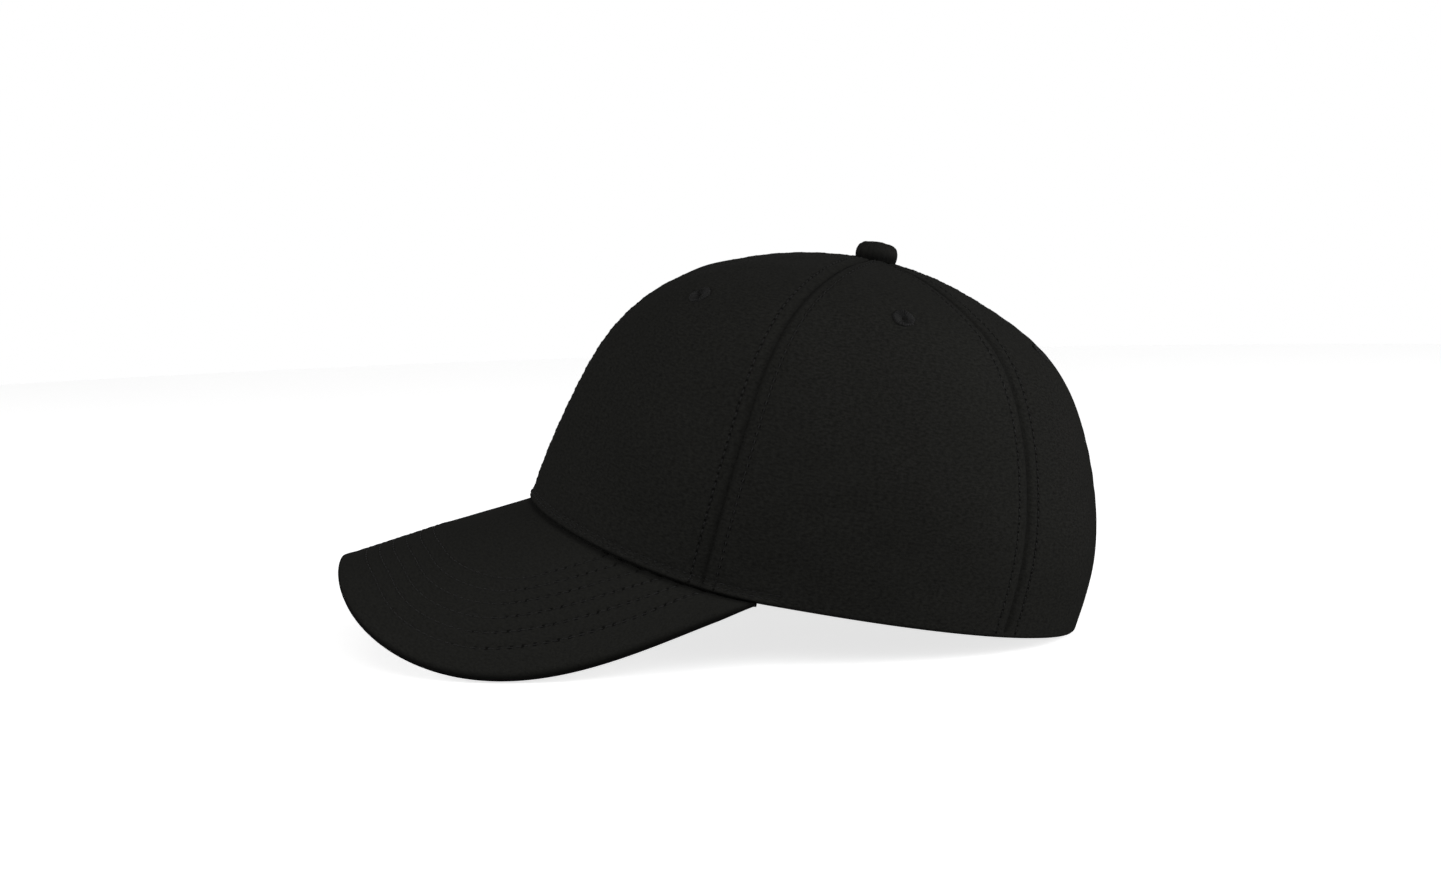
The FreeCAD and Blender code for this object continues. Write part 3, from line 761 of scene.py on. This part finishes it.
def panel_angles(start, finish, levels):
    """Angles across a panel for its points' levels: columns crowd along both seams."""
    columns, crowd = len(levels), len(EDGE_STEPS)
    column = np.arange(columns)
    from_left = EDGE_STEPS[np.minimum(column, crowd - 1)][:, None]
    share = np.clip((column - crowd + 1) / (columns - 2 * crowd + 1), 0, 1)[:, None]
    width = (finish - start) * per_degree((start + finish) / 2, levels)
    shrink = np.minimum(1, width / 0.045)
    left = start + from_left * shrink / per_degree(start, levels)
    right = finish - from_left[::-1] * shrink / per_degree(finish, levels)
    return left + (right - left) * share


def panel(name, start, finish, middle_columns):
    """One crown panel: a closed shell of cloth whose lower edge is folded up inside."""
    shares = np.concatenate([np.linspace(0, 0.05, 19)[:-1], np.linspace(0.05, 1, 118)])
    angles = np.linspace(start, finish, 2 * len(EDGE_STEPS) + middle_columns)[:, None]
    for _ in range(3):
        levels = hem_level(angles) + (TOP_LEVEL - hem_level(angles)) * shares
        angles = panel_angles(start, finish, levels)
    outer, normals = crown_surface(angles, levels)
    seam, scale = seam_place(angles, levels)
    height = (levels - hem_level(angles)) * rise_per_level(angles)
    fold = (FOLD_THICKNESS - PANEL_THICKNESS) * (1 - ramp(height, FOLD_HEIGHT - 0.0015, FOLD_HEIGHT))
    depth = PANEL_THICKNESS + fold - FOLD_INNER_SHARE * hem_round(height) + 0.0002 * hill(seam, 0, 0.002)
    inner = crown_point(angles, levels) - normals * depth[..., None]
    strip = strip_share(angles)
    # Painted shade: the colour darkens along each seam's groove, under each eyelet's hole, and along the
    # hem's lower edge, most where the strip rolls over the bill.
    crease_and_painted_shade = 0.25 * hill(seam, 0, 0.0013) + 0.9 * eyelet_dip(outer, 0.0012)
    crease_and_painted_shade = crease_and_painted_shade + (0.5 + 0.3 * strip) * hill(height, 0, 0.0007 + 0.0005 * strip)
    distance = (seam - SEAM_ROW) * scale
    marks = {"row_run": run_along(outer, 1), "row_distance": distance, "crease_and_painted_shade": crease_and_painted_shade}
    return closed_shell(name, outer, inner, CROWN_CLOTH, marks)


def crown():
    """Six panels: each half has a front, a side and a back one."""
    panels = (("front", 0, 67, 62), ("side", 67, 130, 62), ("back", 130, 180, 50))
    for label, start, finish, columns in panels:
        for hand, sign in HANDS:
            name = f"{label}_{hand}_panel"
            ends = sorted((sign * start, sign * finish))
            piece = panel("cloth_" + name, *ends, columns)
            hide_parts(name)


crown()

# ---- Bill ----

ROOT_TUCK = 0.0032  # the bill's sewn edge lies this far inside the crown
ROOT_LIFT = 0.0010  # and turns up to meet it


def bill_cover(name, node, face, material):
    """One cover: a closed cloth shell that rolls over the rim and is tucked in under the crown."""
    angles = BILL_END_ANGLE * np.linspace(-1, 1, 261)[:, None]
    root, edge, _ = bill_line(angles[:, 0])
    reach = length(edge - root)[:, None]
    turn = np.linspace(0, math.pi / 2, 11)[:-1]
    thickness = bill_thickness(angles)
    rim = thickness / 2 * (1 - np.cos(turn) ** (2 / RIM_SQUARENESS))[::-1]
    rim = np.minimum(rim, 0.4 * reach)
    flat = np.linspace(0, 1, 124)
    shares = np.concatenate([flat * (1 - rim[:, :1] / reach), 1 - rim[:, 1:] / reach], axis=1)
    outer, normals, distance = bill_surface(angles, shares, face)
    wall = np.minimum(COVER_THICKNESS, thickness * 0.2)
    inset = wall * np.exp(-(1 - shares) * reach / 0.004)
    inner_shares = np.maximum(shares - inset / reach, 0)
    base = bill_point(angles, inner_shares)
    far = np.maximum(edge_distance(base) - wall, 0)
    depth = np.minimum(wall + rim_round(far, thickness / 2 - wall), thickness / 2 - 0.00002)
    if face < 0:
        depth = thickness - depth
    inner = base - bill_normal(angles, inner_shares) * depth[..., None]
    inward = unit(-crown_normal(angles, hem_level(angles)) * (1, 1, 0))
    tuck = np.linspace(1, 0, 7)[:-1, None] * ROOT_TUCK
    tucked = inward * tuck + UP * ROOT_LIFT * ramp(tuck, 0.0010, 0.0026)
    outer = np.concatenate([outer[:, :1] + tucked, outer], axis=1)
    inner = np.concatenate([inner[:, :1] + tucked, inner], axis=1)
    extra = np.repeat(distance[:, :1], tuck.shape[0], axis=1)
    count = row_count(angles, np.concatenate([extra + 1, distance], axis=1))
    nearest = np.min([np.abs(count - row) for row in BILL_ROWS], axis=0) * BILL_ROW_PITCH
    nearest = nearest + HIDDEN_HOLES * (1 - side_share(angles))
    run = np.broadcast_to(run_along(outer[:, 60])[:, None], nearest.shape)
    # Painted shade: the colour darkens along the rim, where the cover turns under, and beside the root,
    # where the bill meets the crown.
    crease_and_painted_shade = 0.85 * hill(np.concatenate([extra, distance], axis=1), 0, 0.0008)
    crease_and_painted_shade[:, tuck.shape[0]:] += 0.6 * hill(shares * reach, 0, 0.0009)
    marks = {"row_run": run, "row_distance": nearest, "crease_and_painted_shade": crease_and_painted_shade}
    if face > 0:
        outer, inner = outer[::-1], inner[::-1]
        marks = {mark: values[::-1] for mark, values in marks.items()}
    piece = closed_shell(name, outer, inner, material, marks)
    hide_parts(node)


def bill_row_lines(face):
    """The sewn rows, each as points and normals: a row stops where it runs into the crown."""
    angles = np.linspace(-BILL_END_ANGLE, BILL_END_ANGLE, 309)[:, None]
    shares = np.linspace(0, 1, 80)[None]
    count = row_count(angles, edge_distance(bill_point(angles, shares)))
    for row in BILL_ROWS:
        inside = count[:, 0] > row
        crossing = np.array([np.interp(-row, -line, shares[0]) for line in count[inside]])
        points, normals, _ = bill_surface(angles[inside, 0], crossing, face)
        yield points, normals


def bill():
    """Both covers, their topstitching, and the board between them."""
    bill_cover("bill_top_cloth", "bill_top_cover", 1, BILL_CLOTH)
    bill_cover("bill_under_cloth", "bill_under_cover", -1, UNDER_CLOTH)
    for face, name in ((1, "bill_top_stitching"), (-1, "bill_under_stitching")):
        thread = Thread()
        for points, normals in bill_row_lines(face):
            thread.row(points, normals, BILL_STITCH_PITCH, BILL_STITCH_LENGTH)
        thread.piece(name, BILL_THREAD_PAINTED_HIGHLIGHT, "thread")
    dress("bill_board", BOARD)


bill()

# ---- Topstitching on the crown ----

def seam_line(angle, side):
    """A line beside a seam, side times SEAM_ROW away from it."""
    levels = np.linspace(hem_level(angle) + 0.012, 0.975, 260)
    angles = np.full_like(levels, angle)
    for _ in range(3):
        scale = seam_place(angles, levels)[1]
        angles = angle + side * SEAM_ROW * scale / per_degree(angle, levels)
    return crown_surface(angles, levels)


def seam_stitching():
    """Two rows of topstitching along each of the six seams."""
    for angle, label in SEAM_LABELS.items():
        thread = Thread()
        for side in (1, -1):
            thread.row(*seam_line(angle, side))
        thread.piece("seam_stitching_" + label, THREAD, "thread")


def strip_stitching():
    """Two rows of topstitching above the rolled strip over the bill."""
    thread = Thread()
    angles = np.linspace(-STRIP_END, STRIP_END, 400)
    for height in STRIP_ROWS:
        thread.row(*crown_surface(angles, level_above_hem(angles, height)))
    thread.piece("strip_stitching", THREAD, "thread")


seam_stitching()
strip_stitching()

# ---- Button and eyelets ----

def upright_frame(place, normal):
    """A matrix whose +Z is the normal, at a place."""
    turn = Vector((0, 0, 1)).rotation_difference(Vector(normal)).to_matrix().to_4x4()
    return Matrix.Translation(Vector(place)) @ turn


def turned_shell(name, rings, material, matrix, marks=None):
    """A closed shape of rings round Z, each (columns, 3), whose first and last meet."""
    count, columns = len(rings), len(rings[0])
    number = np.arange(count * columns).reshape(count, columns)
    upper, side = np.roll(number, -1, axis=0), np.roll(number, -1, axis=1)
    faces = np.stack([number, side, np.roll(upper, -1, axis=1), upper], axis=-1).reshape(-1, 4)
    points = np.concatenate(rings)
    uv = points[:, :2]
    points = points @ np.array(matrix.to_3x3()).T + np.array(matrix.translation)
    return new_piece(name, points, faces.tolist(), material, uv, marks)


def button_cover():
    """Cloth drawn over the button, with small gathers where it tucks in underneath."""
    columns = 144
    turn = np.arange(columns) * 2 * math.pi / columns
    gather = waves(10, 0.0016, 0.0035, 11)
    outline = []
    for lift in np.linspace(-0.5 * math.pi, 0.5 * math.pi, 34)[4:]:
        flat, tall = math.cos(lift), math.sin(lift)
        radius = BUTTON_RADIUS * max(flat, 0) ** (0.70 if tall > 0 else 0.10)
        height = BUTTON_HEIGHT * (0.36 + (0.64 * tall ** 0.9 if tall > 0 else -0.52 * (-tall) ** 0.6))
        outline.append((radius, height))
    inside = [(max(radius - 0.0006, 0), max(height - 0.0006, 0.0002)) for radius, height in outline[::-1]]
    rings, shades = [], []
    for number, (radius, height) in enumerate(outline + inside):
        low = 1 - ramp(np.float64(height), 0.0004, 0.0030)
        ring = np.stack([radius * np.cos(turn), radius * np.sin(turn), np.full(columns, height)], axis=-1)
        if number < len(outline):
            crease_and_painted_shade = low * 0.00010 * np.cos(26 * turn) + 0.00007 * gather(ring)
            ring[:, :2] *= (1 + crease_and_painted_shade / BUTTON_RADIUS)[:, None]
            ring[:, 2] += 0.00005 * gather(ring + 1.0) - 0.00018 * hill(radius, 0.0030, 0.0015)
        rings.append(ring)
        # Painted shade: the cover's colour darkens towards its base, next to the crown.
        shades.append(np.full(columns, 0.75 * (1 - ramp(np.float64(height), 0.0002, 0.0036))))
    matrix = Matrix.Translation(BUTTON_PLACE) @ Matrix.Rotation(BUTTON_TILT, 4, "X")
    matrix = matrix @ Matrix.Translation((0, 0, BUTTON_LIFT))
    piece = turned_shell("button_cloth", rings, BUTTON_CLOTH, matrix,
                         {"crease_and_painted_shade": np.concatenate(shades)})
    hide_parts("button_cover")


def eyelet(label, hand, angle, level):
    """An embroidered ring: satin stitches that run from the hole over a raised edge."""
    stitches, steps = 24, 6
    columns = stitches * steps
    turn = np.arange(columns) * 2 * math.pi / columns
    number = np.arange(columns) // steps
    draw = np.random.default_rng(int(abs(angle) * 10) + (hand == "left"))
    reach = draw.uniform(-0.00022, 0.00022, stitches)[number]
    tall = draw.uniform(0.75, 1.15, stitches)[number]
    ridge = np.abs(np.sin(turn * stitches / 2)) ** 0.6
    rim = EYELET_RADIUS
    profile = [(EYELET_HOLE, -0.0012), (EYELET_HOLE + 0.0001, -0.0002), (0.0013, 0.0003),
               (0.0020, 0.00052), (0.0028, 0.00060), (0.0034, 0.00055), (rim, 0.00030),
               (rim, -0.0002), (rim - 0.0002, -0.0007), (0.0025, -0.0013)]
    rings = []
    for radius, height in profile:
        outward = radius + reach * ramp(np.float64(radius), 0.002, 0.004)
        up = height * tall if height > 0 else np.full(columns, height)
        up = up - (1 - ridge) * 0.00045 * (height > -0.0005)
        rings.append(np.stack([outward * np.cos(turn), outward * np.sin(turn), up], axis=-1))
    surface, normal = crown_surface(np.array([angle]), np.array([level]))
    matrix = upright_frame(surface[0] + normal[0] * 0.00025, normal[0])
    piece = turned_shell(f"eyelet_stitching_{label}_{hand}", rings[::-1], EYELET_THREAD, matrix)
    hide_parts(f"eyelet_{label}_{hand}")


def button_and_eyelets():
    """The covered button, its metal parts, and six eyelets."""
    button_cover()
    for node in ("button_shell", "button_washer", "button_prong"):
        dress(node, METAL)
    for label, (angle, level) in EYELETS.items():
        for hand, sign in HANDS:
            eyelet(label, hand, sign * angle, level)


button_and_eyelets()

# ---- Inner trim ----

def inner_layer(name, node, angles, levels, depth, thickness, material, relief):
    """A closed layer inside the crown.

    angles and levels are grids, depth and thickness are numbers or grids, and relief says how far
    the face towards the head stands in.
    """
    base, normals = crown_point(angles, levels), crown_normal(angles, levels)
    across, up = run_along(base), run_along(base, 1)
    edge = np.min([across, across[-1:] - across, up, up[:, -1:] - up], axis=0)
    soften = thickness / 2 * (1 - np.sqrt(1 - (1 - np.clip(edge / (thickness / 2 + 1e-5), 0, 1)) ** 2))
    far = base - normals * (depth + soften * 0.9)[..., None]
    near = base - normals * (depth + thickness - soften * 0.9 + relief(across, up, base))[..., None]
    piece = closed_shell(name, far, near, material)
    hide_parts(node)
    return piece


def sewn_tape(label, angle):
    """Seam tape with two sewn rows, domed between them."""
    levels = np.linspace(level_above_hem(angle, 0.010), 0.92, 150)[None]
    offsets = np.linspace(-0.006, 0.006, 25)[:, None]
    scale = np.clip(per_degree(angle, levels) * 60 / 0.040, 0.3, 1)
    angles = angle + offsets * scale / per_degree(angle, levels)
    levels = np.broadcast_to(levels, angles.shape)

    def relief(across, up, base):
        place = np.abs(across - across[-1:] / 2)
        dome = 0.0004 * (1 - (place / 0.0065) ** 2)
        return dome - 0.00018 * hill(place, 0.0042, 0.0004) + 0.00006 * small_swell(base)

    name = "seam_tape_" + label
    inner_layer("cloth_" + name, name, angles, levels, 0.0021, 0.0006, TAPE_CLOTH, relief)
    thread = Thread()
    for column in (4, 20):
        place = angles[column], levels[column]
        normals = crown_normal(*place)
        thread.row(crown_point(*place) - normals * 0.0029, -normals, 0.0030, 0.0024)
    thread.piece("tape_stitching_" + label, THREAD, "thread")


def buckram(hand, sign):
    """A stiff net fused behind a front panel."""
    rise = np.linspace(0, 1, 90)[None]
    start, finish = (1.5, 65.5) if sign > 0 else (-65.5, -1.5)
    angles = start + (finish - start) * np.linspace(0, 1, 60)[:, None] + 0 * rise
    levels = level_above_hem(angles, 0.010)
    levels = levels + (0.90 - levels) * rise
    name = f"front_{hand}_buckram"
    inner_layer("net_" + name, name, angles, levels, 0.0013, 0.0006, BUCKRAM,
                lambda across, up, base: 0.00012 * small_swell(base))


def band_grid(reach, low, high, columns, rows):
    """Angles and levels of a band that runs round the hem."""
    angles = np.linspace(-reach, reach, columns)[:, None] + np.zeros(rows)
    heights = np.linspace(low, high, rows)[None]
    return angles, level_above_hem(angles, heights)


def band_depth(angles):
    """The sweatband stands further in over the forehead foam."""
    fade = ramp(np.abs(angles), 48, 76)
    return 0.0035 + 0.0020 * (1 - fade)


def sweatband():
    """Padded cotton band with a bound upper edge and a sewn lower one."""
    angles, levels = band_grid(179.98, 0.0008, 0.032, 560, 44)

    def relief(across, up, base):
        wave = np.sin(across / 0.0135 * 2 * math.pi + 1.5 * soft_swell(base))
        dimple = 0.00022 * wave * ramp(up, 0.004, 0.016)
        sewn = -0.00035 * hill(up, 0.0035, 0.0006) - 0.00035 * hill(up, 0.0262, 0.0006)
        return 0.00055 * ramp(up, 0.003, 0.010) + 0.0003 * hill(up, 0.0285, 0.002) + sewn + dimple

    piece = inner_layer("sweatband_cloth", "sweatband", angles, levels, band_depth(angles), 0.0010,
                        BAND_CLOTH, relief)
    thread = Thread()
    for height, lift in ((0.0043, 0.0010), (0.0270, 0.0012)):
        line = np.linspace(-179, 179, 700)
        level = level_above_hem(line, height)
        normals = crown_normal(line, level)
        depth = band_depth(line) + 0.0010 + lift - 0.0006
        thread.row(crown_point(line, level) - normals * depth[:, None], -normals, 0.0034, 0.0027)
    stitching = thread.piece("sweatband_stitching", THREAD, "thread")


def foam():
    """Soft pad behind the sweatband at the forehead."""
    angles, levels = band_grid(60, 0.0033, 0.0287, 130, 30)
    piece = inner_layer("forehead_foam", "sweatband_foam", angles, levels, 0.0034, 0.0018, FOAM,
                        lambda across, up, base: 0.0001 * small_swell(base))


def hem_tape():
    """Cotton tape that covers the folded edge."""
    angles, levels = band_grid(179.98, 0.0008, 0.0090, 420, 12)
    inner_layer("hem_tape_cloth", "hem_tape", angles, levels, 0.0028, 0.0004, HEM_CLOTH,
                lambda across, up, base: 0.00005 * small_swell(base))


LABEL_HALF_ANGLE = 6.0
LABEL_HEIGHT = 0.018


def label_patch(name, node, middle, low, depth):
    """A small blank label whose corners lift a little."""
    share, rise = np.linspace(-1, 1, 40)[:, None], np.linspace(0, 1, 40)[None]
    angles = middle + LABEL_HALF_ANGLE * share + 0 * rise
    levels = level_above_hem(angles, low + LABEL_HEIGHT * rise)

    def relief(across, up, base):
        return 0.0006 * (share ** 4) * rise ** 2 + 0.00012 * np.sin(share * 7) * rise

    inner_layer(name, node, angles, levels, depth, 0.00035, LABEL_CLOTH, relief)


def inner_trim():
    """Everything inside the crown."""
    for angle, label in SEAM_LABELS.items():
        sewn_tape(label, angle)
    for hand, sign in HANDS:
        buckram(hand, sign)
    sweatband()
    foam()
    hem_tape()
    label_patch("blank_size_label", "size_label", 180.0, 0.008, 0.0053)
    label_patch("blank_care_label", "care_label", 146.0, 0.024, 0.0031)


inner_trim()

# ---- Camera, light and floor ----

CAMERA_PLACE = (1.0658, -0.0370, 0.1793)
CAMERA_RIGHT = Vector((0.03940, 0.99882, -0.02825)).normalized()
CAMERA_UP = Vector((-0.10081, 0.03210, 0.99439)).normalized()
CAMERA_LENS = 75.4  # mm, on a sensor 36 mm wide
LAMP_AIM = Vector((0, 0.01, 0.07))
FLOOR_RADIUS = 1.4
FLOOR_CORNERS = 96


def camera():
    """A long lens that looks along -X at the wearer's left side, slightly from above."""
    data = bpy.data.cameras.new("camera")
    data.sensor_width = 36.0
    data.lens = CAMERA_LENS
    data.clip_end = 50.0
    turn = Matrix((CAMERA_RIGHT, CAMERA_UP, CAMERA_RIGHT.cross(CAMERA_UP))).transposed().to_4x4()
    made = new_object("camera", data)
    made.matrix_world = Matrix.Translation(CAMERA_PLACE) @ turn
    bpy.context.scene.camera = made


def softbox(name, place, width, height, watts):
    """A large soft lamp that faces the cap."""
    data = bpy.data.lights.new(name, "AREA")
    data.shape = "RECTANGLE"
    data.size, data.size_y = width, height
    data.energy = watts
    lamp = new_object(name, data)
    lamp.location = place
    lamp.rotation_euler = (LAMP_AIM - Vector(place)).to_track_quat("-Z", "Y").to_euler()


def paper_floor():
    """A plain pale floor that neither shades nor lights the cap."""
    mesh = bpy.data.meshes.new("floor")
    turns = np.arange(FLOOR_CORNERS) * 2 * math.pi / FLOOR_CORNERS
    circle = [(FLOOR_RADIUS * math.cos(turn), FLOOR_RADIUS * math.sin(turn), 0) for turn in turns]
    mesh.from_pydata(circle, [], [tuple(range(FLOOR_CORNERS))])
    mesh.materials.append(floor_material("floor_paper"))
    floor = new_object("floor", mesh)
    floor.location.z = -0.0002
    floor.visible_diffuse = False
    floor.visible_glossy = False
    floor.visible_shadow = False


def surroundings():
    """White all round, which doesn't light the cap."""
    world = bpy.data.worlds.new("surroundings")
    world.use_nodes = True
    background = world.node_tree.nodes["Background"]
    background.inputs["Color"].default_value = (1, 1, 1, 1)
    background.inputs["Strength"].default_value = 1.0
    world.cycles_visibility.diffuse = False
    world.cycles_visibility.glossy = False
    bpy.context.scene.world = world
    bpy.context.scene.view_settings.view_transform = "Standard"


def lamps():
    """Soft lamps on all sides: place, width, height and watts."""
    softbox("lamp_camera_side", (1.6, 0.0, 1.2), 1.2, 1.0, 13.0)
    softbox("lamp_front", (0.3, -1.8, 0.6), 1.2, 1.0, 19.0)
    softbox("lamp_back_side", (1.3, 1.3, 0.6), 1.2, 1.0, 15.5)
    softbox("lamp_back", (0.4, 1.8, 0.6), 1.2, 1.0, 17.0)
    softbox("lamp_far", (-1.9, 0.1, 0.6), 1.2, 1.0, 1.2)
    softbox("lamp_below", (-0.5, -0.4, -1.5), 1.6, 1.6, 11.0)


camera()
paper_floor()
surroundings()
lamps()
